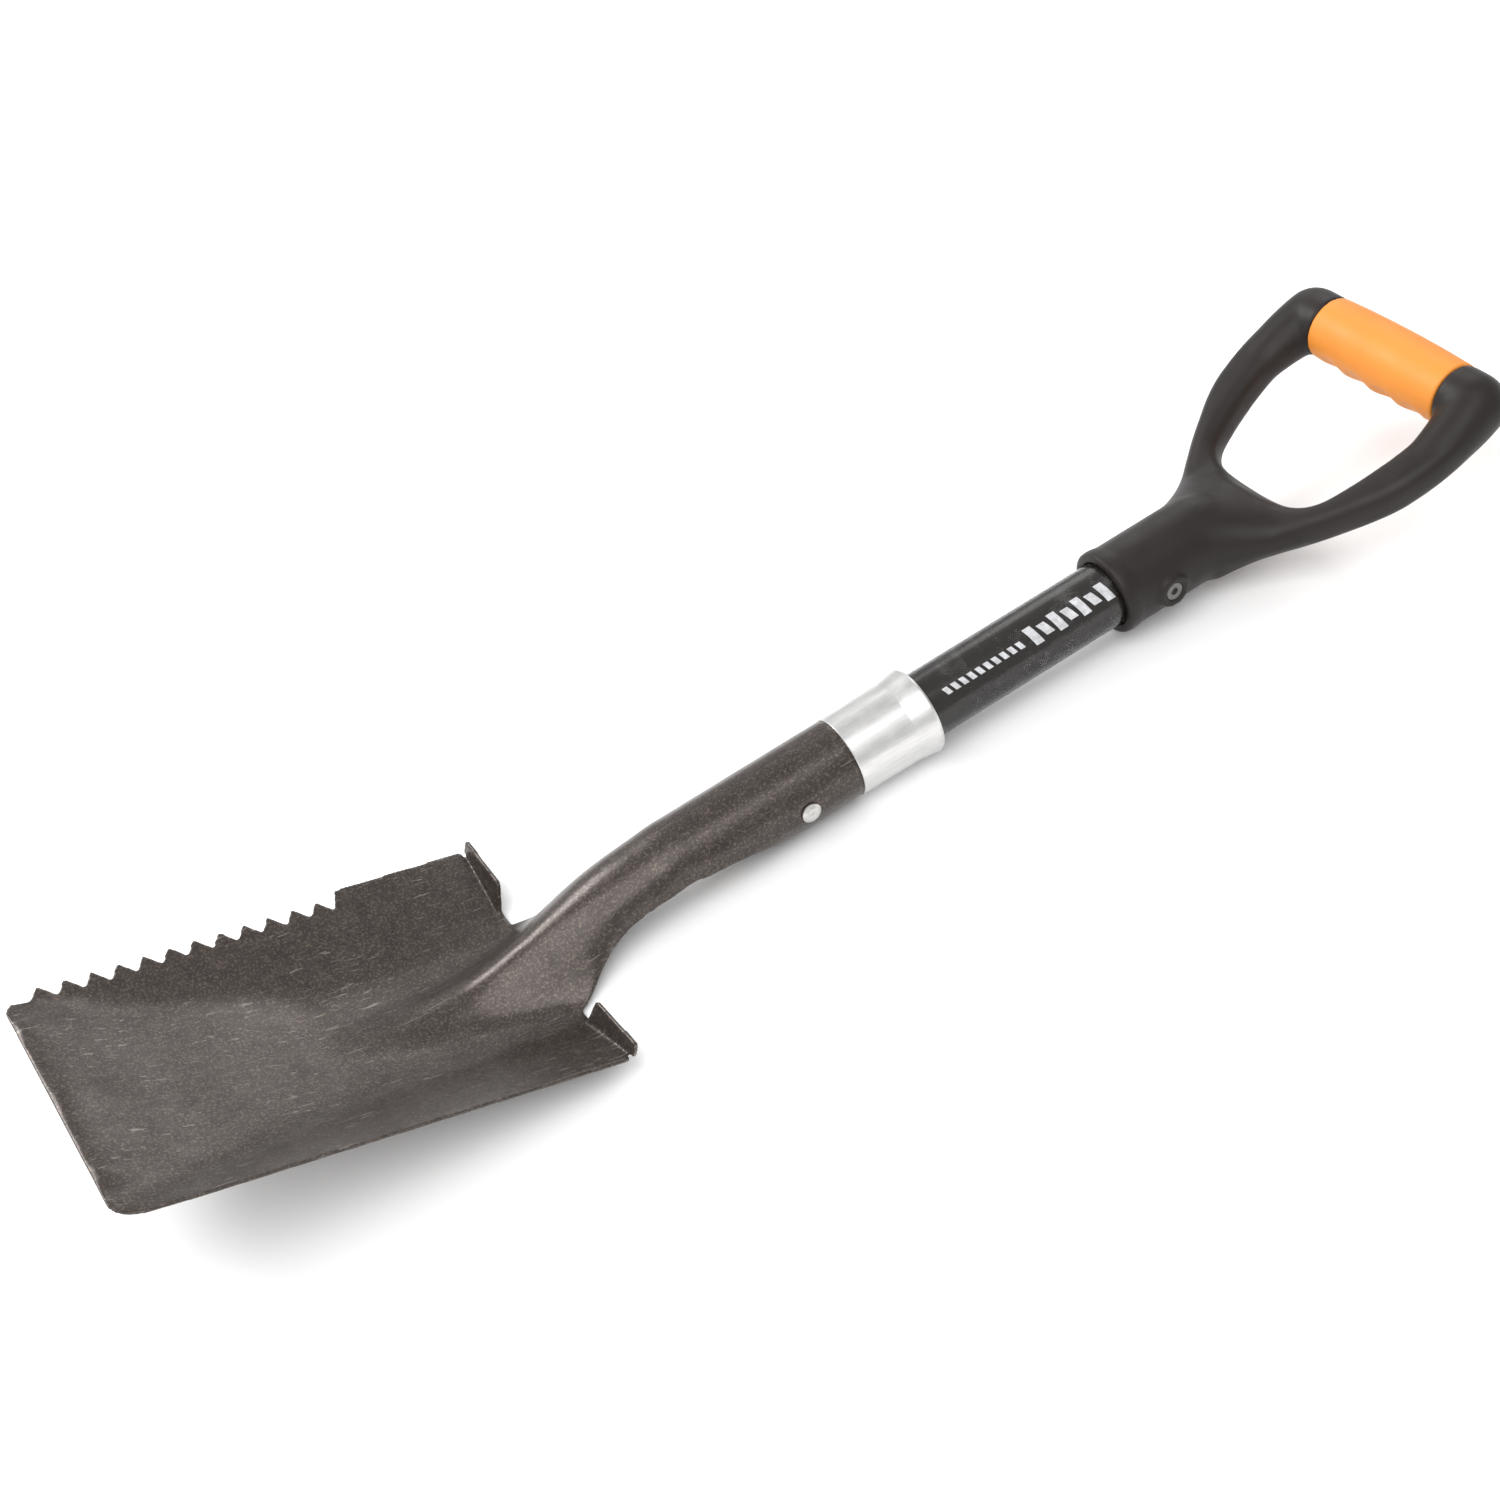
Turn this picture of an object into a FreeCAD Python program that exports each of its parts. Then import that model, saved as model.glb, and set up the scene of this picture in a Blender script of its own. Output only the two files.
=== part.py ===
import FreeCAD, Part
import math
import os
import Sketcher
from FreeCAD import Vector, Rotation, Placement

# Short square-mouth digging shovel with a serrated side edge and a D-grip.
# Every sub-part is drawn in the shaft frame: shaft axis along X, crossbar at x = 0,
# blade towards -X, face side up.  One shared placement then leans the shovel into
# its resting stance (heel of the blade and ferrule on the ground) and moves the
# origin to the middle of the footprint at ground level.

os.makedirs("parts", exist_ok=True)
doc = FreeCAD.newDocument("detecting_shovel")

SIZES = [
    ("rest_lean", -1.45), ("rest_x", 326.68), ("rest_z", 27.728),
    ("shaft_rad", 15.5), ("core_rad", 12.5), ("shaft_x0", -376.0), ("shaft_x1", -117.0),
    ("socket_rad", 18.5), ("socket_wall", 2.4), ("socket_x1", -298.0), ("seam_half_deg", 176.0),
    ("neckdown_rad", 17.9), ("neckdown_x", -318.5),
    ("ferrule_x0", -318.5), ("ferrule_x1", -276.5), ("ferrule_rad", 19.0), ("ferrule_flare", 20.7),
    ("film_wall", 0.2), ("film_x0", -276.3), ("film_x1", -173.2),
    ("rivet_x", -346.0), ("rivet_rad", 3.0), ("rivet_head_rad", 4.6), ("rivet_head_h", 1.8),
    ("screw_x", -149.0), ("screw_z", -1.5), ("screw_rad", 2.5), ("screw_head_rad", 4.2),
    ("screw_head_h", 2.4), ("barrel_rad", 3.6), ("barrel_len", 14.0), ("boss_rad", 8.0), ("boss_half", 21.4),
    ("bar_z", 31.0), ("grip_half", 39.9), ("grip_rad", 14.9), ("grip_bow", 1.0), ("grip_core", 9.5),
    ("wave_depth", 2.0), ("wave_lean", 36.0), ("wave_pitch", 17.5), ("bar_half", 67.0),
    ("handle_lean", 17.6), ("arm_thick", 18.0), ("arm_round", 7.0), ("handle_x0", -173.5),
    ("handle_rad", 19.6), ("handle_lip", 20.3), ("bore_end", -116.0),
    ("tip_x", -667.0), ("tip_z", 67.0), ("tip_half", 70.0), ("heel_x", -475.0), ("heel_half", 76.5),
    ("edge_slope", 0.36), ("sheet", 2.0), ("corner_rad", 10.0),
    ("tooth_pitch", 10.25), ("tooth_deep", 5.6), ("tooth_count", 12), ("tooth_x0", -656.5), ("tooth_back", 2.6),
    ("tread_lean", 25.0), ("tread_in", 38.5), ("tread_in_top", 43.4), ("tread_tall", 14.6),
]
sheet = doc.addObject("Spreadsheet::Sheet", "sizes")
for row, (name, value) in enumerate(SIZES, 1):
    sheet.set("A%d" % row, name)
    sheet.set("B%d" % row, str(value))
    sheet.setAlias("B%d" % row, name)
doc.recompute()
D = {name: float(sheet.get(name)) for name, value in SIZES}

REST = Placement(Vector(D["rest_x"], 0, D["rest_z"]), Rotation(Vector(0, 1, 0), D["rest_lean"]))


def new_body(label):
    body = doc.addObject("PartDesign::Body", label)
    body.Label = label
    return body


def plane(body, role):
    for feature in body.Origin.OriginFeatures:
        if feature.Role == role:
            return feature


def sketch_on(body, name, role, offset=None):
    sk = body.newObject("Sketcher::SketchObject", name)
    sk.AttachmentSupport = [(plane(body, role), "")]
    sk.MapMode = "FlatFace"
    if offset is not None:
        sk.AttachmentOffset = offset
    return sk


def polyline(sk, points):
    count = len(points)
    for i in range(count):
        a = Vector(points[i][0], points[i][1], 0)
        b = Vector(points[(i + 1) % count][0], points[(i + 1) % count][1], 0)
        sk.addGeometry(Part.LineSegment(a, b), False)
    for i in range(count):
        sk.addConstraint(Sketcher.Constraint("Coincident", i, 2, (i + 1) % count, 1))


def bind_radius(sk, geometry, alias):
    """Tie a circle's radius to the size sheet."""
    index = sk.addConstraint(Sketcher.Constraint("Radius", geometry, D[alias]))
    sk.setExpression("Constraints[%d]" % index, "sizes.%s" % alias)


def revolve_x(body, name, points, cut=False):
    """Turned shape: profile points (x, radius) spun about the shaft axis."""
    sk = sketch_on(body, name + "_sketch", "XZ_Plane")
    polyline(sk, points)
    kind = "PartDesign::Groove" if cut else "PartDesign::Revolution"
    feature = body.newObject(kind, name)
    feature.Profile = sk
    feature.ReferenceAxis = (sk, ["H_Axis"])
    feature.Angle = 360
    return feature


def pin_y(body, name, x, z, radius_alias, y0, y1, cut=False):
    """Round pin or hole across the shaft, from y0 to y1."""
    kind = "PartDesign::Pocket" if cut else "PartDesign::Pad"
    sk = sketch_on(body, name + "_sketch", "XZ_Plane", Placement(Vector(0, 0, -y0), Rotation()))
    sk.addGeometry(Part.Circle(Vector(x, z, 0), Vector(0, 0, 1), D[radius_alias]), False)
    bind_radius(sk, 0, radius_alias)
    feature = body.newObject(kind, name)
    feature.Profile = sk
    feature.Length = abs(y1 - y0)
    feature.Reversed = not cut
    return feature


# ---------------------------------------------------------------- shaft
def make_shaft():
    tube = new_body("shaft_tube")
    sk = sketch_on(tube, "tube_sketch", "YZ_Plane", Placement(Vector(0, 0, D["shaft_x0"]), Rotation()))
    for radius, alias in ((D["shaft_rad"], "shaft_rad"), (D["core_rad"], "core_rad")):
        index = sk.addGeometry(Part.Circle(Vector(0, 0, 0), Vector(0, 0, 1), radius), False)
        bind_radius(sk, index, alias)
    pad = tube.newObject("PartDesign::Pad", "tube_pad")
    pad.Profile = sk
    pad.setExpression("Length", "sizes.shaft_x1 - sizes.shaft_x0")
    core = new_body("shaft_core")
    sk = sketch_on(core, "core_sketch", "YZ_Plane", Placement(Vector(0, 0, D["shaft_x0"]), Rotation()))
    sk.addGeometry(Part.Circle(Vector(0, 0, 0), Vector(0, 0, 1), D["core_rad"]), False)
    bind_radius(sk, 0, "core_rad")
    pad = core.newObject("PartDesign::Pad", "core_pad")
    pad.Profile = sk
    pad.setExpression("Length", "sizes.shaft_x1 - sizes.shaft_x0")
    doc.recompute()
    for body in (tube, core):
        pin_y(body, body.Label + "_rivet_hole", D["rivet_x"], 0, "rivet_rad", -20, 20, True)
        pin_y(body, body.Label + "_barrel_hole", D["screw_x"], D["screw_z"], "barrel_rad", -20, 20, True)
    return tube, core


# ---------------------------------------------------------------- ferrule and film
def make_ferrule():
    body = new_body("ferrule_collar")
    x0, x1 = D["ferrule_x0"], D["ferrule_x1"]
    step = D["socket_x1"] + 0.5
    points = [(x0, D["neckdown_rad"] + 0.05), (x0, D["ferrule_rad"] - 0.3), (x0 + 0.4, D["ferrule_rad"]),
              (x1 - 12, D["ferrule_rad"] + 0.3), (x1 - 4, D["ferrule_flare"] - 0.3),
              (x1 - 1.6, D["ferrule_flare"]), (x1 - 0.5, D["ferrule_flare"] - 0.5),
              (x1, D["ferrule_flare"] - 1.7), (x1, D["shaft_rad"] + 0.3),
              (step, D["shaft_rad"] + 0.3), (step, D["neckdown_rad"] + 0.05)]
    revolve_x(body, "ferrule_turn", points)
    return body


def make_film():
    body = new_body("label_sleeve")
    a, b = D["shaft_rad"] + 0.02, D["shaft_rad"] + 0.02 + D["film_wall"]
    revolve_x(body, "film_turn", [(D["film_x0"], a), (D["film_x0"], b), (D["film_x1"], b), (D["film_x1"], a)])
    return body


# ---------------------------------------------------------------- fasteners
def make_rivet():
    body = new_body("socket_rivet")
    sk = sketch_on(body, "rivet_sketch", "XY_Plane")
    reach = D["socket_rad"] + 0.1
    top = reach + D["rivet_head_h"]
    r, rh = D["rivet_rad"] - 0.05, D["rivet_head_rad"]
    x = D["rivet_x"]
    points = [(x, -top + 0.5), (x + 1.2, -top), (x + rh - 1.6, -top + 0.1), (x + rh, -top + 1.1), (x + rh, -reach),
              (x + r, -reach), (x + r, reach), (x + rh, reach), (x + rh, top - 1.1),
              (x + rh - 1.6, top - 0.1), (x + 1.2, top), (x, top - 0.5)]
    polyline(sk, points)
    axis = sk.addGeometry(Part.LineSegment(Vector(x, -top, 0), Vector(x, top, 0)), True)
    turn = body.newObject("PartDesign::Revolution", "rivet_turn")
    turn.Profile = sk
    turn.ReferenceAxis = (sk, ["Axis0"])
    turn.Angle = 360
    return body


def make_screw_pair():
    seat = D["boss_half"] - 1.2
    screw = new_body("handle_screw")
    pin_y(screw, "screw_head", D["screw_x"], D["screw_z"], "screw_head_rad", -seat - 0.2, -seat - 0.2 + D["screw_head_h"])
    pin_y(screw, "screw_shank", D["screw_x"], D["screw_z"], "screw_rad", -seat - 0.2, 8.0)
    sk = sketch_on(screw, "drive_sketch", "XZ_Plane", Placement(Vector(0, 0, seat + 0.2), Rotation()))
    six = 6
    reach = D["screw_rad"] * 0.8
    corners = [(D["screw_x"] + reach * math.cos(2 * math.pi * i / six),
                D["screw_z"] + reach * math.sin(2 * math.pi * i / six)) for i in range(six)]
    polyline(sk, corners)
    drive = screw.newObject("PartDesign::Pocket", "screw_drive")
    drive.Profile = sk
    drive.Length = 1.6
    nut = new_body("handle_nut")
    pin_y(nut, "nut_barrel", D["screw_x"], D["screw_z"], "barrel_rad", seat - D["barrel_len"], seat - 0.1)
    pin_y(nut, "nut_head", D["screw_x"], D["screw_z"], "screw_head_rad", seat - D["screw_head_h"], seat)
    pin_y(nut, "nut_bore", D["screw_x"], D["screw_z"], "screw_rad", seat - D["barrel_len"] - 1, 8.2, True)
    return screw, nut


# ---------------------------------------------------------------- D-handle
def mirror_y(points):
    return [(x, -y) for x, y in reversed(points)]


def oval(body, name, x, y, z, a, b, leaned):
    """Elliptic section across the shaft line; leaned ones lie across the tilted plane of the arms."""
    lean = math.radians(D["handle_lean"])
    turn = Rotation(Vector(1, 0, 0), -D["handle_lean"]) if leaned else Rotation()
    place = Vector(y, z, x)
    if leaned:
        place = Vector(y, D["bar_z"] + x * math.sin(lean), x * math.cos(lean))
    sk = sketch_on(body, name, "YZ_Plane", Placement(place, turn))
    centre = Vector(0, 0, 0)
    if a > b + 0.01:
        sk.addGeometry(Part.Ellipse(Vector(a, 0, 0), Vector(0, b, 0), centre), False)
    else:
        sk.addGeometry(Part.Circle(centre, Vector(0, 0, 1), a), False)
    return sk


def loft_through(body, name, rings):
    loft = body.newObject("PartDesign::AdditiveLoft", name)
    loft.Profile = rings[0]
    loft.Sections = [(ring, [""]) for ring in rings[1:]]
    loft.Ruled = False


def make_handle():
    body = new_body("d_handle_frame")
    lean = Placement(Vector(0, 0, D["bar_z"]), Rotation(Vector(0, 1, 0), -D["handle_lean"]))
    sk = sketch_on(body, "arms_sketch", "XY_Plane", lean)
    outer = [(3, 62.5), (-8, 66.0), (-25, 67.2), (-44, 65.0), (-58, 61.0), (-72, 54.0), (-84, 47.0),
             (-97, 38.0), (-109, 29.0), (-120, 22.5), (-131, 18.0)]
    inner = [(3, 43.5), (-10, 45.0), (-26, 46.0), (-42, 44.3), (-58, 41.0), (-71, 37.0), (-80, 32.5),
             (-86, 24.5), (-88, 15.0), (-88.5, 6.0), (-88.5, 0)]
    inner_all = inner + [(x, -y) for x, y in reversed(inner[:-1])]

    def spline(points):
        curve = Part.BSplineCurve()
        curve.interpolate([Vector(x, y, 0) for x, y in points])
        return curve

    chain = [spline(outer), spline(inner_all), spline(mirror_y(outer)[::-1])]
    sk.addGeometry(chain[0], False)
    sk.addGeometry(chain[1], False)
    sk.addGeometry(chain[2], False)
    far, near = outer[-1], (outer[-1][0], -outer[-1][1])
    for a, b in ((outer[0], inner[0]), ((inner[0][0], -inner[0][1]), (outer[0][0], -outer[0][1])), (far, near)):
        sk.addGeometry(Part.LineSegment(Vector(a[0], a[1], 0), Vector(b[0], b[1], 0)), False)
    arms = body.newObject("PartDesign::Pad", "arms_pad")
    arms.Profile = sk
    arms.Midplane = True
    arms.setExpression("Length", "sizes.arm_thick")
    doc.recompute()
    # round the long outer and inner rims of the arms
    names = []
    for number, edge in enumerate(arms.Shape.Edges, 1):
        if edge.Length > 60 and edge.Curve.TypeId == "Part::GeomBSplineCurve":
            names.append("Edge%d" % number)
    rims = body.newObject("PartDesign::Fillet", "arm_rounding")
    rims.Base = (arms, names)
    rims.setExpression("Radius", "sizes.arm_round")
    doc.recompute()
    body.Tip = rims
    # the arms swell into the ends of the crossbar, and the root spreads out of the socket
    swell = ((-1.0, 52.0, 14.5, 14.5), (-17.0, 55.0, 12.6, 12.2), (-38.0, 55.3, 10.6, 9.0))
    for side in (-1, 1):
        rings = [oval(body, "swell_%d_%d" % (side + 1, i), x, side * y, 0, a, b, True)
                 for i, (x, y, a, b) in enumerate(swell)]
        loft_through(body, "arm_swell_%d" % (side + 1), rings)
    root = ((-126.0, 0.0, 19.5, 19.4), (-108.0, 0.4, 28.5, 16.0), (-91.0, 2.4, 41.0, 10.4))
    rings = [oval(body, "root_%d" % i, x, 0, z, a, b, False) for i, (x, z, a, b) in enumerate(root)]
    loft_through(body, "root_spread", rings)
    # crossbar core with its rounded ends
    bar = sketch_on(body, "bar_sketch", "XY_Plane", Placement(Vector(0, 0, D["bar_z"]), Rotation()))
    g, gr, c, e = D["grip_half"], D["grip_rad"], D["grip_core"], D["bar_half"]
    flat = g + 9
    bar.addGeometry(Part.LineSegment(Vector(0, -e, 0), Vector(0, e, 0)), False)
    q = math.sqrt(0.5)
    mid = (gr * q, flat + (e - flat) * q)
    bar.addGeometry(Part.Arc(Vector(0, e, 0), Vector(mid[0], mid[1], 0), Vector(gr, flat, 0)), False)
    run = [(gr, flat), (gr, g), (c, g), (c, -g), (gr, -g), (gr, -flat)]
    for a, b in zip(run[:-1], run[1:]):
        bar.addGeometry(Part.LineSegment(Vector(a[0], a[1], 0), Vector(b[0], b[1], 0)), False)
    bar.addGeometry(Part.Arc(Vector(gr, -flat, 0), Vector(mid[0], -mid[1], 0), Vector(0, -e, 0)), False)
    turn = body.newObject("PartDesign::Revolution", "bar_turn")
    turn.Profile = bar
    turn.ReferenceAxis = (bar, ["V_Axis"])
    turn.Angle = 360
    # socket for the shaft with a rounded mouth and a domed root
    x0, r, lip = D["handle_x0"], D["handle_rad"], D["handle_lip"]
    revolve_x(body, "socket_turn", [(x0, 0), (x0, lip - 1.2), (x0 + 0.5, lip - 0.4), (x0 + 1.5, lip), (x0 + 6, lip),
                                    (x0 + 8, r), (-118, r), (-110, 17.8), (-103, 13.0), (-99, 7.0), (-98, 0)])
    half = D["boss_half"]
    pin_y(body, "screw_boss", D["screw_x"], D["screw_z"], "boss_rad", -half, half)
    revolve_x(body, "socket_bore", [(x0 - 5, 0), (x0 - 5, D["shaft_rad"] + 0.1), (D["bore_end"], D["shaft_rad"] + 0.1),
                                    (D["bore_end"], 0)], True)
    seat = half - 1.2
    head, barrel = D["screw_head_h"], D["barrel_rad"]
    pin_y(body, "near_seat", D["screw_x"], D["screw_z"], "screw_head_rad", -30, -seat - 0.2 + head, True)
    pin_y(body, "far_seat", D["screw_x"], D["screw_z"], "screw_head_rad", seat - head, 30, True)
    pin_y(body, "cross_hole", D["screw_x"], D["screw_z"], "barrel_rad", -25, 25, True)
    return body


def make_grip():
    body = new_body("grip_sleeve")
    sk = sketch_on(body, "grip_sketch", "XY_Plane", Placement(Vector(0, 0, D["bar_z"]), Rotation()))
    g, r, c = D["grip_half"] - 0.05, D["grip_rad"], D["grip_core"] + 0.02
    crest = r + D["grip_bow"]
    sk.addGeometry(Part.Arc(Vector(r, -g, 0), Vector(crest, 0, 0), Vector(r, g, 0)), False)
    for a, b in (((r, g), (c, g)), ((c, g), (c, -g)), ((c, -g), (r, -g))):
        sk.addGeometry(Part.LineSegment(Vector(a[0], a[1], 0), Vector(b[0], b[1], 0)), False)
    turn = body.newObject("PartDesign::Revolution", "grip_turn")
    turn.Profile = sk
    turn.ReferenceAxis = (sk, ["V_Axis"])
    turn.Angle = 360
    doc.recompute()
    # finger waves on the side that faces the opening
    waves = sketch_on(body, "wave_sketch", "XY_Plane",
                      Placement(Vector(0, 0, D["bar_z"]), Rotation(Vector(0, 1, 0), -D["wave_lean"])))
    pitch, deep = D["wave_pitch"], D["wave_depth"]
    span = pitch * 0.42
    big = (span * span + deep * deep) / (2 * deep)
    for k in range(4):
        y = (k - 1.5) * pitch
        waves.addGeometry(Part.Circle(Vector(-(crest + big - deep), y, 0), Vector(0, 0, 1), big), False)
    cut = body.newObject("PartDesign::Pocket", "grip_waves")
    cut.Profile = waves
    cut.Midplane = True
    cut.Length = 60
    return body


# ---------------------------------------------------------------- blade and its socket
def edge_z(x):
    return D["tip_z"] - D["edge_slope"] * (x - D["tip_x"])


def edge_y(x):
    share = (x - D["tip_x"]) / (D["heel_x"] - D["tip_x"])
    return D["tip_half"] + (D["heel_half"] - D["tip_half"]) * share


def blend(x, table):
    """Smooth value between (x, value) knots."""
    for (xa, a), (xb, b) in zip(table[:-1], table[1:]):
        if x <= xb:
            u = max(0.0, (x - xa) / (xb - xa))
            return a + (b - a) * u
    return table[-1][1]


FLOOR = [(-667.0, 67.0), (-640.0, 51.0), (-600.0, 28.5), (-564.0, 9.5), (-538.0, -0.5), (-520.0, -5.5),
         (-505.0, -9.2), (-485.0, -13.2), (-470.0, -14.8)]
RIB_TALL = [(-667.0, 0.0), (-570.0, 0.0), (-538.0, 3.5), (-520.0, 6.5), (-505.0, 9.5), (-492.0, 14.0),
            (-480.0, 18.5), (-470.0, 22.2)]
RIB_HALF = [(-667.0, 12.0), (-570.0, 12.0), (-538.0, 17.0), (-505.0, 23.0), (-485.0, 28.0), (-470.0, 33.0)]
CREASE = [(-667.0, 0.90), (-632.0, 0.76), (-600.0, 0.62), (-576.0, 0.50), (-548.0, 0.44), (-500.0, 0.46), (-470.0, 0.50)]
CREASE_RISE = 0.12


def blade_top(x, y):
    """Height of the digging face: a shallow middle, side walls beyond a crease, and the centre rib."""
    reach = abs(y) / edge_y(x)
    crease = blend(x, CREASE)
    if reach < crease:
        share = CREASE_RISE * (reach / crease) ** 2
    else:
        share = CREASE_RISE + (1 - CREASE_RISE) * (reach - crease) / (1 - crease)
    floor = blend(x, FLOOR)
    z = floor + (edge_z(x) - floor) * share
    half = blend(x, RIB_HALF)
    if abs(y) < half:
        z += blend(x, RIB_TALL) * math.cos(0.5 * math.pi * y / half) ** 2
    return z


def closed_section(upper, lower):
    top = Part.BSplineCurve()
    top.interpolate(upper)
    bottom = Part.BSplineCurve()
    bottom.interpolate(lower)
    edges = [top.toShape(), Part.LineSegment(upper[-1], lower[-1]).toShape(),
             bottom.toShape(), Part.LineSegment(lower[0], upper[0]).toShape()]
    return Part.Wire(Part.__sortEdges__(edges))


def blade_sheet():
    wall = D["sheet"] * 1.08
    half_steps = [0, 5, 10, 15, 20, 25, 31, 38, 47, 57, 67]
    sections = []
    for x in (-667.0, -640.0, -610.0, -585.0, -564.0, -548.0, -534.0, -520.0, -505.0, -492.0, -480.0, -473.0):
        ys = [v for v in half_steps if v < edge_y(x) - 2] + [edge_y(x)]
        ys = [-v for v in reversed(ys[1:])] + ys
        tip_thin = 0.45 if x == D["tip_x"] else 1.0
        upper = [Vector(x, y, blade_top(x, y)) for y in ys]
        lower = [Vector(x, y, blade_top(x, y) - wall * tip_thin) for y in ys]
        sections.append(closed_section(upper, lower))
    return Part.makeLoft(sections, True, False)


def side_cutter():
    """Outline of everything outside the serrated side edge, the plain edge and the rounded tip corners."""
    pitch, deep, back = D["tooth_pitch"], D["tooth_deep"], D["tooth_back"]
    x, far = D["tooth_x0"], 120.0
    points = [Vector(-690, far, -60), Vector(-690, edge_y(x) - back - deep, -60)]
    count = int(D["tooth_count"])
    for i in range(count):
        base = edge_y(x) - back - deep
        points.append(Vector(x, base, -60))
        points.append(Vector(x + 0.42 * pitch, base + deep, -60))
        points.append(Vector(x + 0.52 * pitch, base + deep, -60))
        x += pitch
    points.append(Vector(x, edge_y(x) - back - deep, -60))
    points.append(Vector(x + 5.5, edge_y(x) + 3, -60))
    points.append(Vector(x + 5.5, far, -60))
    points[1] = Vector(-690, points[2].y, -60)
    points.append(points[0])
    return Part.Face(Part.makePolygon(points)).extrude(Vector(0, 0, 200))


def corner_cutter(side):
    r = D["corner_rad"]
    y = side * (D["tip_half"] if side < 0 else D["tip_half"] - D["tooth_back"] - D["tooth_deep"] + 2.4)
    x = D["tip_x"]
    block = Part.makeBox(r + 8, r + 8, 60, Vector(x - 8, y - r if side > 0 else y - 8, 40))
    round_part = Part.makeCylinder(r, 80, Vector(x + r, y - side * r, 30))
    return block.cut(round_part)


def tread(side):
    lean = math.radians(D["tread_lean"])
    x0, z0 = D["heel_x"] - 1.0, -14.0
    steps = [D["tread_in"] + (D["heel_half"] - D["tread_in"]) * i / 6.0 for i in range(7)]
    base = [(y, (blade_top(D["heel_x"], y) - z0) / math.cos(lean) - 2.0) for y in steps]
    top = [(D["heel_half"], D["tread_tall"] + 1.3), (D["heel_half"] - 1.5, D["tread_tall"] + 2.6),
           (D["tread_in_top"] + 2, D["tread_tall"] + 1.0), (D["tread_in_top"], D["tread_tall"])]
    ring = [Vector(0, side * y, v) for y, v in base + top]
    ring.append(ring[0])
    slab = Part.Face(Part.makePolygon(ring)).extrude(Vector(D["sheet"], 0, 0))
    slab.Placement = Placement(Vector(x0, 0, z0), Rotation(Vector(0, 1, 0), D["tread_lean"]))
    return slab


def neck_section(x, half, top, foot, flare, wall):
    """Half-pipe section; flare 0 is a half ellipse, flare 1 a bell that runs out flat at its feet."""
    count = 12
    line = []
    for i in range(-count, count + 1):
        a = 0.5 * math.pi * i / count
        y = half * ((1 - flare) * math.sin(a) + flare * i / count)
        z = foot + (top - foot) * ((1 - flare) * math.cos(a) + flare * math.cos(a) ** 2)
        line.append((y, z))
    upper, lower = [], []
    for i, (y, z) in enumerate(line):
        y0, z0 = line[max(0, i - 1)]
        y1, z1 = line[min(len(line) - 1, i + 1)]
        length = math.hypot(y1 - y0, z1 - z0)
        upper.append(Vector(x, y, z))
        lower.append(Vector(x, y + wall * (z1 - z0) / length, z - wall * (y1 - y0) / length))
    return closed_section(upper, lower)


def neck_sheet():
    """Half-pipe neck, then the rolled tube with a seam that opens towards the blade."""
    wall, r = D["socket_wall"], D["socket_rad"]
    join, heel = -400.0, -474.6
    inset = 0.06
    stations = [(heel, blend(heel, RIB_HALF), blade_top(heel, 0) - inset, blade_top(heel, 33.0) - inset, 1.0, 1.6),
                (-467.0, 29.5, 8.2, -12.6, 0.78, 1.9), (-459.0, 25.0, 10.3, -10.0, 0.5, 2.1),
                (-450.0, 21.2, 12.6, -6.2, 0.24, 2.1), (-440.0, 18.9, 14.7, -3.0, 0.05, 2.1),
                (-428.0, 18.2, 16.4, -1.0, 0.0, 2.2), (-415.0, 18.3, 17.7, -0.4, 0.0, 2.3),
                (join + 1.0, r - 0.08, r - 0.08, -0.4, 0.0, wall - 0.2)]
    neck = Part.makeLoft([neck_section(*s) for s in stations], True, False)
    step = D["neckdown_x"] - 0.3
    tube = pipe(join - 1.0, step, r, r - wall)
    opening = [(join - 2, -30), (join - 2, -0.9), (join + 14, -3.0), (join + 24, -5.2), (join + 32, -8.0),
               (join + 40, -11.5), (join + 47, -15.0), (join + 54, -19.0), (join + 54, -30)]
    ring = [Vector(x, -30, z) for x, z in opening + opening[:1]]
    tube = tube.cut(Part.Face(Part.makePolygon(ring)).extrude(Vector(0, 60, 0)))
    mouth = pipe(step - 1.0, D["socket_x1"], D["neckdown_rad"], r - wall)
    whole = neck.fuse(tube).fuse(mouth)
    seam = 2 * r * math.sin(math.radians(180 - D["seam_half_deg"])) / 2
    return whole.cut(Part.makeBox(110, seam, 10, Vector(join, -seam / 2, -r - 2)))


def pipe(x0, x1, outer, inner):
    axis = Vector(1, 0, 0)
    shell = Part.makeCylinder(outer, x1 - x0, Vector(x0, 0, 0), axis)
    return shell.cut(Part.makeCylinder(inner, x1 - x0 + 2, Vector(x0 - 1, 0, 0), axis))


def make_blade():
    solid = blade_sheet()
    solid = solid.cut(side_cutter())
    for side in (-1, 1):
        solid = solid.cut(corner_cutter(side))
    solid = solid.fuse(neck_sheet())
    for side in (-1, 1):
        solid = solid.fuse(tread(side))
    hole = Part.makeCylinder(D["rivet_rad"], 60, Vector(D["rivet_x"], -30, 0), Vector(0, 1, 0))
    solid = solid.cut(hole)
    solid = solid.removeSplitter()
    feature = doc.addObject("Part::Feature", "blade_and_socket")
    feature.Label = "blade_and_socket"
    feature.Shape = solid.Solids[0] if len(solid.Solids) == 1 else solid
    return feature


parts = [make_blade(), make_ferrule(), make_film(), make_rivet(), make_handle(), make_grip()]
parts += list(make_shaft())
parts += list(make_screw_pair())
doc.recompute()
for obj in parts:
    obj.Placement = REST.multiply(obj.Placement) if obj.TypeId == "Part::Feature" else REST
doc.recompute()

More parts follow.
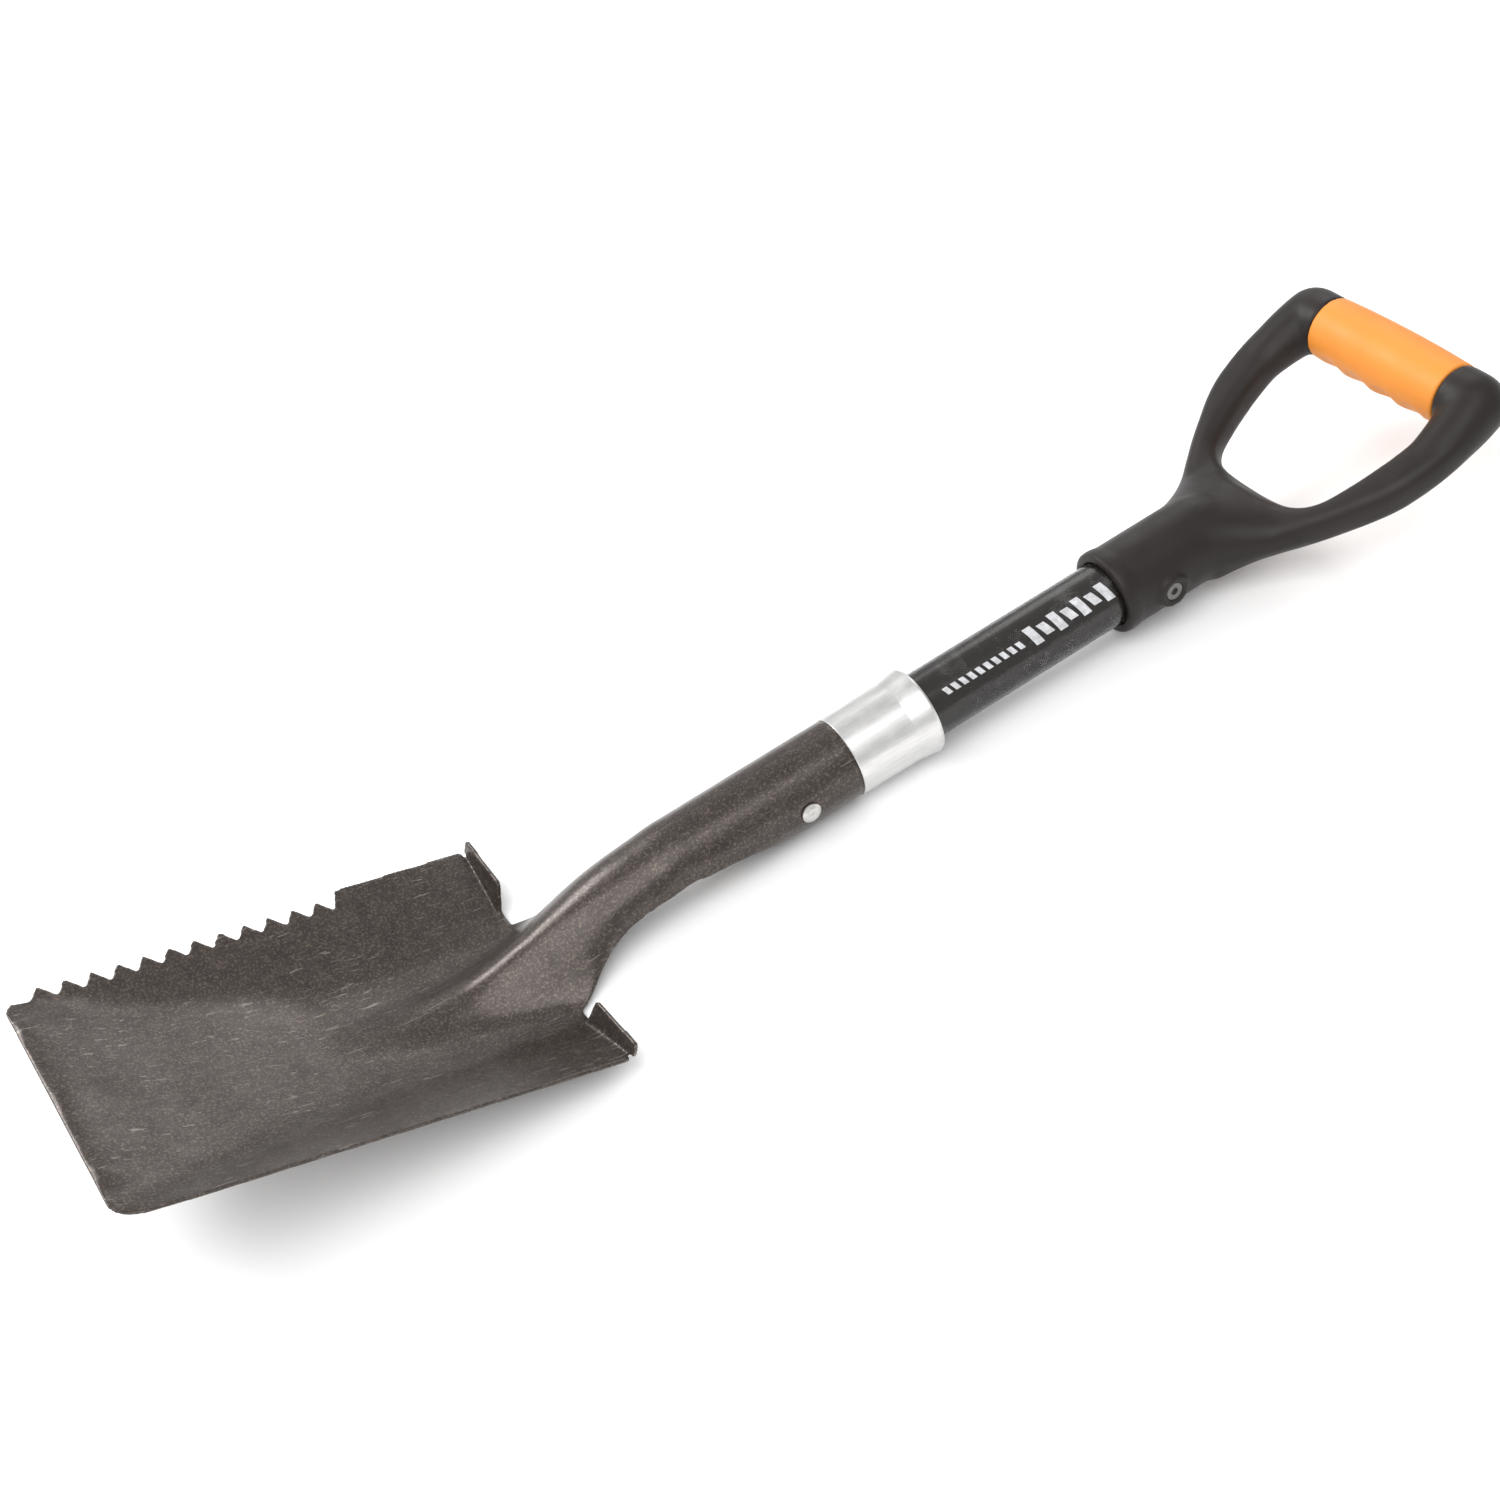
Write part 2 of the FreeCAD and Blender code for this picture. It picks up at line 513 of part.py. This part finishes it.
for obj in doc.Objects:
    bad = [word for word in obj.State if word in ("Invalid", "Error")]
    if bad:
        raise RuntimeError("%s is %s" % (obj.Name, bad))
total = Part.makeCompound([obj.Shape for obj in parts]).BoundBox
print("box", total)
for obj in parts:
    shape = obj.Shape
    if shape.isNull() or not shape.isValid():
        raise RuntimeError("%s has no valid shape" % obj.Label)
    print(obj.Label, "solids", len(shape.Solids), "volume", round(shape.Volume), "box", shape.BoundBox)
    shape.exportStep("parts/%s.step" % obj.Label)
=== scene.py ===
import bpy
import bmesh
import math
from mathutils import Matrix, Vector, noise


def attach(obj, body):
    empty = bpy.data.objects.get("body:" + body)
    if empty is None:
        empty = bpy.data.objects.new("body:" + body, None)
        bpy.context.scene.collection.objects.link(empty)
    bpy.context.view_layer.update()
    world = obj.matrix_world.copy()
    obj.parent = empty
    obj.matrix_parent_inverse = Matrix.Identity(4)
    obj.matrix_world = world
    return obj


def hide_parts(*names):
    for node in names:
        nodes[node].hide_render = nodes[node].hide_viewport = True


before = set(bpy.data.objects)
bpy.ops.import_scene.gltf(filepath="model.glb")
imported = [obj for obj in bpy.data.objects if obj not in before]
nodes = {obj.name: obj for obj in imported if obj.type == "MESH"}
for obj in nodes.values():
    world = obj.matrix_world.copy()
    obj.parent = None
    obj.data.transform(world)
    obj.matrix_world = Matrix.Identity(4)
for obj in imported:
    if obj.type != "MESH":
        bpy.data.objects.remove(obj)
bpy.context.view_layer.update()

# The shovel is described in its shaft frame (mm, shaft axis along X, crossbar at x = 0, blade
# towards -X) and stands in the row frame leaned onto its heel and ferrule.
LEAN = math.radians(-1.45)
SHIFT_X, SHIFT_Z = 326.68, 27.728
MM = 0.001
PLACE = Matrix.Translation((SHIFT_X / 1000, 0, SHIFT_Z / 1000))
REST = PLACE @ Matrix.Rotation(LEAN, 4, "Y") @ Matrix.Scale(MM, 4)
TO_SHAFT = REST.inverted()


# ------------------------------------------------------------------ material helpers
def set_socket(tree, value, socket):
    """Links an output to a socket, or sets the socket's own number or colour."""
    if hasattr(value, "is_linked"):
        tree.links.new(value, socket)
    elif isinstance(value, tuple):
        socket.default_value = (*value, 1.0)
    else:
        socket.default_value = value


class Mat:
    """A node material on the Principled shader, with short helpers."""

    MIX_FACTOR, MIX_A, MIX_B, MIX_RESULT = 0, 6, 7, 2

    def __init__(self, name):
        self.mat = bpy.data.materials.new(name)
        self.mat.use_nodes = True
        self.tree = self.mat.node_tree
        self.bsdf = self.tree.nodes["Principled BSDF"]
        self.coord = self.new("ShaderNodeTexCoord").outputs["Object"]

    def new(self, kind, **settings):
        node = self.tree.nodes.new(kind)
        for key, value in settings.items():
            setattr(node, key, value)
        return node

    def stretch(self, x, y, z, turn=0.0):
        node = self.new("ShaderNodeMapping")
        node.inputs["Scale"].default_value = (x, y, z)
        node.inputs["Rotation"].default_value = (0, 0, turn)
        self.tree.links.new(self.coord, node.inputs["Vector"])
        return node.outputs["Vector"]

    def noise(self, scale, detail=4.0, rough=0.55, vector=None):
        node = self.new("ShaderNodeTexNoise")
        node.inputs["Scale"].default_value = scale
        node.inputs["Detail"].default_value = detail
        node.inputs["Roughness"].default_value = rough
        self.tree.links.new(vector or self.coord, node.inputs["Vector"])
        return node.outputs["Fac"]

    def cells(self, scale):
        node = self.new("ShaderNodeTexVoronoi", feature="F1")
        node.inputs["Scale"].default_value = scale
        self.tree.links.new(self.coord, node.inputs["Vector"])
        return node.outputs["Distance"]

    def ramp(self, fac, *stops):
        """A grey ramp through (place, value) stops."""
        node = self.new("ShaderNodeValToRGB")
        elements = node.color_ramp.elements
        while len(elements) < len(stops):
            elements.new(0.5)
        for element, (place, value) in zip(elements, stops):
            element.position = place
            element.color = (value, value, value, 1.0)
        self.tree.links.new(fac, node.inputs["Fac"])
        return node.outputs["Color"]

    def mix(self, fac, a, b):
        node = self.new("ShaderNodeMix", data_type="RGBA", blend_type="MIX")
        for value, index in ((fac, self.MIX_FACTOR), (a, self.MIX_A), (b, self.MIX_B)):
            set_socket(self.tree, value, node.inputs[index])
        return node.outputs[self.MIX_RESULT]

    def maths(self, operation, a, b):
        node = self.new("ShaderNodeMath", operation=operation)
        for value, socket in ((a, node.inputs[0]), (b, node.inputs[1])):
            set_socket(self.tree, value, socket)
        return node.outputs[0]

    def bump(self, height, strength, distance):
        node = self.new("ShaderNodeBump")
        node.inputs["Strength"].default_value = strength
        node.inputs["Distance"].default_value = distance
        self.tree.links.new(height, node.inputs["Height"])
        return node.outputs["Normal"]

    def put(self, **sockets):
        """Sets the shader's sockets; an underscore stands for a space in a name."""
        for name, value in sockets.items():
            set_socket(self.tree, value, self.bsdf.inputs[name.replace("_", " ")])


# ------------------------------------------------------------------ materials
FINE, MEDIUM, COARSE = 0.0001, 0.0002, 0.0004        # depths of the surface relief, in metres


def lacquered_steel():
    """Grey-bronze lacquer with fine light flecks, rubbed patches and thin scratches."""
    deep, faded = (0.024, 0.0184, 0.0163), (0.043, 0.0343, 0.0305)
    rubbed, fleck, bare = (0.076, 0.0615, 0.0545), (0.21, 0.163, 0.130), (0.33, 0.30, 0.27)
    m = Mat("lacquered_steel")
    flecks = m.ramp(m.noise(900, 3, 0.7), (0.50, 0.0), (0.68, 1.0))
    mottles = m.ramp(m.noise(160, 5, 0.7), (0.35, 0.0), (0.7, 1.0))
    base = m.mix(m.noise(14, 4, 0.6), deep, faded)
    base = m.mix(m.maths("MULTIPLY", mottles, 0.6), base, rubbed)
    base = m.mix(m.maths("MULTIPLY", flecks, 0.5), base, fleck)
    scratch = None
    for turn, scale in ((0.35, 46), (-0.9, 38), (1.3, 52)):
        lines = m.noise(scale, 2, 0.5, m.stretch(0.6, 16, 6, turn))
        spread = m.noise(22, 2, 0.5, m.stretch(1, 1, 1, turn))
        here = m.maths("MULTIPLY", m.ramp(lines, (0.66, 0.0), (0.70, 1.0)),
                       m.ramp(spread, (0.52, 0.0), (0.62, 1.0)))
        scratch = here if scratch is None else m.maths("MAXIMUM", scratch, here)
    base = m.mix(m.maths("MULTIPLY", scratch, 0.45), base, bare)
    rough = m.ramp(m.noise(60, 4, 0.6), (0.3, 0.27), (0.7, 0.39))
    height = m.maths("ADD", m.noise(700, 3, 0.6), m.maths("MULTIPLY", scratch, -0.7))
    m.put(Base_Color=base, Metallic=0.6, Roughness=rough, Normal=m.bump(height, 0.20, MEDIUM),
          Coat_Weight=0.2, Coat_Roughness=0.22)
    return m.mat


def bright_zinc():
    """Drawn zinc plate with a faint spangle."""
    dull, bright, spangled = (0.60, 0.595, 0.59), (0.73, 0.725, 0.72), (0.50, 0.495, 0.49)
    m = Mat("bright_zinc")
    drawn = m.noise(60, 5, 0.65, m.stretch(1.2, 18, 18))
    tone = m.mix(m.ramp(drawn, (0.3, 0.0), (0.7, 1.0)), dull, bright)
    tone = m.mix(m.maths("MULTIPLY", m.cells(240), 0.12), tone, spangled)
    rough = m.ramp(m.noise(130, 4, 0.6), (0.3, 0.27), (0.7, 0.40))
    m.put(Base_Color=tone, Metallic=1.0, Roughness=rough,
          Normal=m.bump(m.noise(420, 3, 0.6), 0.16, FINE))
    return m.mat


def moulded_black():
    """Black plastic with a fine moulded grain and rubbed patches."""
    m = Mat("moulded_black")
    rub = m.ramp(m.noise(26, 4, 0.6), (0.4, 0.0), (0.75, 1.0))
    base = m.mix(rub, (0.0125, 0.0094, 0.0085), (0.0190, 0.0148, 0.0132))
    rough = m.ramp(m.noise(90, 4, 0.6), (0.3, 0.40), (0.7, 0.52))
    m.put(Base_Color=base, Roughness=rough, Normal=m.bump(m.noise(1500, 3, 0.6), 0.22, FINE),
          Specular_IOR_Level=0.28)
    return m.mat


def soft_orange():
    """Soft-touch yellow-orange overmould, slightly soiled in its grain."""
    shade, light, soiled = (0.70, 0.232, 0.024), (0.77, 0.272, 0.034), (0.60, 0.200, 0.022)
    m = Mat("soft_orange")
    base = m.mix(m.noise(30, 4, 0.6), shade, light)
    base = m.mix(m.ramp(m.noise(420, 3, 0.7), (0.60, 0.0), (0.78, 0.28)), base, soiled)
    rough = m.ramp(m.noise(70, 3, 0.6), (0.3, 0.46), (0.7, 0.58))
    m.put(Base_Color=base, Roughness=rough, Normal=m.bump(m.noise(1300, 3, 0.6), 0.25, FINE))
    return m.mat


def glossy_fibre():
    """Glossy black glass fibre with strands along the shaft."""
    m = Mat("glossy_fibre")
    strands = m.noise(40, 4, 0.6, m.stretch(0.6, 26, 26))
    base = m.mix(strands, (0.008, 0.0068, 0.006), (0.014, 0.0115, 0.010))
    rough = m.ramp(m.noise(50, 4, 0.6), (0.3, 0.16), (0.7, 0.26))
    m.put(Base_Color=base, Roughness=rough, Normal=m.bump(strands, 0.08, FINE))
    return m.mat


def clear_film():
    """Clear shrink film with a faint haze."""
    m = Mat("clear_film")
    wrinkle = m.noise(170, 4, 0.6, m.stretch(1, 3, 3))
    haze = m.ramp(m.noise(90, 4, 0.6), (0.55, 0.0), (0.8, 0.03))
    rough = m.ramp(m.noise(60, 4, 0.6), (0.3, 0.10), (0.7, 0.2))
    m.put(Base_Color=(0.8, 0.8, 0.8), Roughness=rough, Alpha=haze,
          Normal=m.bump(wrinkle, 0.3, MEDIUM))
    return m.mat


def crinkled_film():
    """The same film where its shrunk ends have gone cloudy."""
    m = Mat("crinkled_film")
    wrinkle = m.noise(230, 5, 0.7, m.stretch(1, 2, 2))
    haze = m.ramp(wrinkle, (0.46, 0.04), (0.62, 0.7))
    m.put(Base_Color=(0.62, 0.60, 0.58), Roughness=0.22, Alpha=haze,
          Normal=m.bump(wrinkle, 0.7, COARSE))
    return m.mat


def grey_print():
    """Worn grey ink."""
    m = Mat("grey_print")
    worn = m.noise(300, 4, 0.7)
    base = m.mix(m.ramp(worn, (0.4, 0.0), (0.62, 1.0)), (0.42, 0.42, 0.43), (0.60, 0.61, 0.63))
    m.put(Base_Color=base, Roughness=m.ramp(worn, (0.3, 0.3), (0.7, 0.45)),
          Normal=m.bump(worn, 0.1, FINE))
    return m.mat


def timber():
    """Plain timber with its grain along the shaft."""
    m = Mat("timber")
    rings = m.noise(30, 4, 0.6, m.stretch(1, 14, 14))
    m.put(Base_Color=m.mix(rings, (0.36, 0.22, 0.11), (0.55, 0.38, 0.22)), Roughness=0.65,
          Normal=m.bump(rings, 0.2, MEDIUM))
    return m.mat


def fastener(name, grain, metallic, dark, light):
    """Small turned metal, worn unevenly."""
    m = Mat(name)
    wear = m.noise(grain, 4, 0.6)
    m.put(Base_Color=m.mix(wear, dark, light), Metallic=metallic,
          Roughness=m.ramp(wear, (0.3, 0.28), (0.7, 0.42)), Normal=m.bump(wear, 0.2, FINE))
    return m.mat


STEEL = lacquered_steel()
ZINC = bright_zinc()
BLACK = moulded_black()
ORANGE = soft_orange()
FIBRE = glossy_fibre()
FILM = clear_film()
CRINKLE = crinkled_film()
PRINT = grey_print()
TIMBER = timber()
METAL = fastener("fastener_metal", 500, 0.9, (0.45, 0.44, 0.42), (0.68, 0.67, 0.65))
SCREW = fastener("dark_fastener", 600, 0.8, (0.10, 0.10, 0.10), (0.24, 0.235, 0.23))


# ------------------------------------------------------------------ mesh helpers
def dress(obj, *materials):
    obj.data.materials.clear()
    for material in materials:
        obj.data.materials.append(material)


def smooth(obj):
    for face in obj.data.polygons:
        face.use_smooth = True


def add(name, data):
    obj = bpy.data.objects.new(name, data)
    bpy.context.scene.collection.objects.link(obj)
    return obj


def add_built(name, bm):
    """Turns a finished bmesh into an object with its faces turned outwards."""
    bmesh.ops.recalc_face_normals(bm, faces=bm.faces)
    mesh = bpy.data.meshes.new(name)
    bm.to_mesh(mesh)
    bm.free()
    return add(name, mesh)


def baked(obj):
    """Turns an object's modifiers into its mesh."""
    graph = bpy.context.evaluated_depsgraph_get()
    mesh = bpy.data.meshes.new_from_object(obj.evaluated_get(graph))
    obj.modifiers.clear()
    old = obj.data
    obj.data = mesh
    bpy.data.meshes.remove(old)


def softened(node, name, voxel, *rounds):
    """A fine even mesh of a CAD node with its hard meetings rounded over, as on a pressed or
    moulded piece. Each round is a number of passes and how strongly it acts at a place."""
    obj = add(name, nodes[node].data.copy())
    grid = obj.modifiers.new("grid", "REMESH")
    grid.mode = "VOXEL"
    grid.voxel_size = voxel
    grid.use_smooth_shade = True
    baked(obj)
    for passes, weight in rounds:
        group = obj.vertex_groups.new(name="soften")
        for v in obj.data.vertices:
            group.add([v.index], weight(v.co), "REPLACE")
        relax = obj.modifiers.new("relax", "SMOOTH")
        relax.factor = 0.5
        relax.iterations = passes
        relax.vertex_group = group.name
        baked(obj)
        obj.vertex_groups.clear()
    smooth(obj)
    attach(obj, "root")
    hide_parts(node)
    return obj


def climb(value, start, length):
    """0 up to start, then rising to 1 over a length."""
    return min(1.0, max(0.0, (value - start) / length))


# ------------------------------------------------------------------ pressed and moulded pieces
TOOTH_SIDE, HEEL = 64, -500                     # the serrated edge lies beyond these
RIB_FOOT, RIB_HALF = -560, 46                   # the centre rib begins here and is this wide
SOCKET_START, SOCKET_MOUTH = -440, -322
CORNER_Y, CORNER_X, CORNER_R = 57, 651, 14      # centre and radius of the front corners
TOOTH_ROOT, PLAIN_SIDE, FRONT = 63, 71, 665     # limits of the open floor


def blade_weight(co):
    """Full rounding on the neck and rib, little on the flat of the blade and its teeth."""
    p = TO_SHAFT @ co
    rib = climb(p.x, RIB_FOOT, 60) * climb(-abs(p.y), -RIB_HALF, 16)
    socket = 0.8 if SOCKET_START < p.x < SOCKET_MOUTH else 0.0
    edge = 0.25 if p.y > TOOTH_SIDE and p.x < HEEL else 0.4
    return max(edge, rib, socket)


def floor_weight(co):
    """Evens out the open floor of the blade, clear of its edges, its teeth and the rib."""
    p = TO_SHAFT @ co
    corner = math.hypot(max(0.0, abs(p.y) - CORNER_Y), max(0.0, -p.x - CORNER_X))
    side = TOOTH_ROOT if p.y > 0 else PLAIN_SIDE
    inside = min(CORNER_R - corner, side - abs(p.y), p.x + FRONT)
    return climb(inside, 1, 8) * climb(-p.x, -HEEL, 60)


def handle_weight(co):
    """Strong rounding where the arms leave the socket and the crossbar, little elsewhere."""
    p = TO_SHAFT @ co
    root = climb(p.x, -138, 14) * climb(-p.x, 62, 12)
    corner = 0.7 if p.x > -48 and abs(p.y) > 41.5 else 0.0
    return max(0.22, root, corner)


def grip_weight(co):
    """Crisp ends against the arms, soft finger waves between them."""
    return 1.0 if abs(co.y) < 0.0375 else 0.1


blade = softened("blade_and_socket", "blade_shell", 0.00065, (30, blade_weight), (400, floor_weight))
dress(blade, STEEL)

handle = softened("d_handle_frame", "handle_shell", 0.0009, (60, handle_weight))
dress(handle, BLACK)

grip = softened("grip_sleeve", "grip_shell", 0.0007, (16, grip_weight))
dress(grip, ORANGE)

for node, material in (("ferrule_collar", ZINC), ("shaft_tube", FIBRE), ("shaft_core", TIMBER),
                       ("socket_rivet", METAL), ("handle_screw", SCREW), ("handle_nut", SCREW)):
    dress(nodes[node], material)


# ------------------------------------------------------------------ label film and its print
FILM_START, FILM_END = -276.2, -173.4
FILM_INNER, FILM_OUTER = 15.55, 15.66
PRINT_INNER, PRINT_OUTER = 15.68, 15.72
CRINKLE_LENGTH, CRINKLE_HEIGHT, CLOUDY_LENGTH = 11.0, 0.22, 9.5
EDGE_WANDER = 1.2


def film_ring(bm, i, along, around, base):
    """One ring of the film's wall; the outer wall ripples near the ends, which wander."""
    x = FILM_START + (FILM_END - FILM_START) * i / along
    end = max(0.0, 1 - min(x - FILM_START, FILM_END - x) / CRINKLE_LENGTH)
    into = 1 if i == 0 else -1
    ring = []
    for k in range(around):
        a = 2 * math.pi * k / around
        r = base
        if base == FILM_OUTER:
            ripple = noise.noise(Vector((x * 0.35, 5 * math.cos(a), 5 * math.sin(a))))
            r += end * CRINKLE_HEIGHT * abs(ripple)
        edge = 0.0
        if i in (0, along):
            edge = EDGE_WANDER * noise.noise(Vector((3.0 * math.cos(a), 3.0 * math.sin(a), 7.0 + i)))
        place = Vector((x + abs(edge) * into, r * math.sin(a), r * math.cos(a)))
        ring.append(bm.verts.new(REST @ place))
    return ring


def film_sleeve():
    """Thin clear tube round the bare shaft; both ends are shrunk into small crinkles."""
    around, along = 160, 110
    bm = bmesh.new()
    walls = [[film_ring(bm, i, along, around, base) for i in range(along + 1)]
             for base in (FILM_OUTER, FILM_INNER)]
    for side, rings in enumerate(walls):
        for i in range(along):
            for k in range(around):
                q = (k + 1) % around
                quad = [rings[i][k], rings[i][q], rings[i + 1][q], rings[i + 1][k]]
                face = bm.faces.new(quad if side == 0 else quad[::-1])
                x = (TO_SHAFT @ rings[i][k].co).x
                face.material_index = 1 if min(x - FILM_START, FILM_END - x) < CLOUDY_LENGTH else 0
    for i in (0, along):
        for k in range(around):
            q = (k + 1) % around
            quad = [walls[0][i][q], walls[0][i][k], walls[1][i][k], walls[1][i][q]]
            face = bm.faces.new(quad if i == 0 else quad[::-1])
            face.material_index = 1
    obj = add_built("film_sleeve", bm)
    smooth(obj)
    dress(obj, FILM, CRINKLE)
    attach(obj, "root")
    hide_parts("label_sleeve")


def print_bar(bm, x, length, low, high, slant):
    """One slanted printed bar that follows the shaft, between two angles round it (degrees)."""
    steps = 8
    rows = []
    for j in range(steps + 1):
        share = j / steps
        a = math.radians(low + (high - low) * share)
        row = []
        for r in (PRINT_OUTER, PRINT_INNER):
            for end in (0.0, length):
                place = Vector((x + slant * share + end, -r * math.sin(a), r * math.cos(a)))
                row.append(bm.verts.new(REST @ place))
        rows.append(row)
    for a, b in zip(rows, rows[1:]):
        for m, n in ((0, 1), (1, 3), (3, 2), (2, 0)):
            bm.faces.new([a[m], a[n], b[n], b[m]])
    bm.faces.new([rows[0][i] for i in (0, 2, 3, 1)])
    bm.faces.new([rows[-1][i] for i in (0, 1, 3, 2)])


def label_bars():
    """A row of small bars, then a row of tall and short ones, in place of lettering."""
    bm = bmesh.new()
    x = -268.0
    while x < -226.0:
        print_bar(bm, x, 2.6, 37, 50, 1.5)
        x += 4.4
    x = -222.0
    count = 0
    while x < -182.0:
        low, high = ((24, 58), (30, 52))[count % 2]
        print_bar(bm, x, 4.3, low, high, 2.6)
        x += 6.6
        count += 1
    obj = add_built("label_bars", bm)
    dress(obj, PRINT)
    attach(obj, "root")


film_sleeve()
label_bars()

# ------------------------------------------------------------------ floor, light, camera
FLOOR_HALF, FLOOR_DROP = 6.0, 0.0004

bm = bmesh.new()
bmesh.ops.create_grid(bm, x_segments=4, y_segments=4, size=FLOOR_HALF)
floor_mesh = bpy.data.meshes.new("floor")
bm.to_mesh(floor_mesh)
bm.free()
floor = add("floor", floor_mesh)
floor.location.z = -FLOOR_DROP
paper = Mat("floor_paper")
paper.put(Base_Color=paper.mix(paper.noise(3, 2), (0.93, 0.93, 0.93), (0.95, 0.95, 0.95)),
          Roughness=0.9)
dress(floor, paper.mat)

world = bpy.data.worlds.new("studio")
bpy.context.scene.world = world
world.use_nodes = True
ground = world.node_tree.nodes["Background"]
ground.inputs["Color"].default_value = (1, 1, 1, 1)
ground.inputs["Strength"].default_value = 0.76


def lamp(name, place, target, size, power):
    """A rectangular lamp at a place, facing a target (metres, watts)."""
    data = bpy.data.lights.new(name, "AREA")
    data.shape = "RECTANGLE"
    data.size, data.size_y = size
    data.energy = power
    obj = add(name, data)
    obj.location = place
    obj.rotation_mode = "QUATERNION"
    obj.rotation_quaternion = (Vector(target) - Vector(place)).to_track_quat("-Z", "Y")


lamp("key", (-0.55, -0.75, 1.55), (0, 0, 0), (2.2, 1.5), 27)
lamp("streak", (-0.5, 1.0, 1.05), (-0.13, 0, 0), (0.8, 0.45), 12)
lamp("back", (0.9, 0.9, 0.8), (0.1, 0, 0), (0.9, 0.6), 3)

camera_data = bpy.data.cameras.new("camera")
camera_data.sensor_width = 36.0
camera_data.lens = 56.30
camera_data.clip_start = 0.05
camera_data.clip_end = 50.0
camera = add("camera", camera_data)
# in front of the plain side edge, above the blade
right = Vector((0.829008, -0.524468, -0.194111))
ahead = Vector((0.276979, 0.686601, -0.672206))
above = right.cross(ahead)
turn = Matrix((right, above, -ahead)).transposed()
camera.rotation_mode = "QUATERNION"
camera.rotation_quaternion = turn.to_quaternion()
camera.location = (-0.30377, -0.67548, 0.71249)
bpy.context.scene.camera = camera

view = bpy.context.scene.view_settings
view.view_transform = "Standard"
view.look = "None"
view.exposure = 0.0
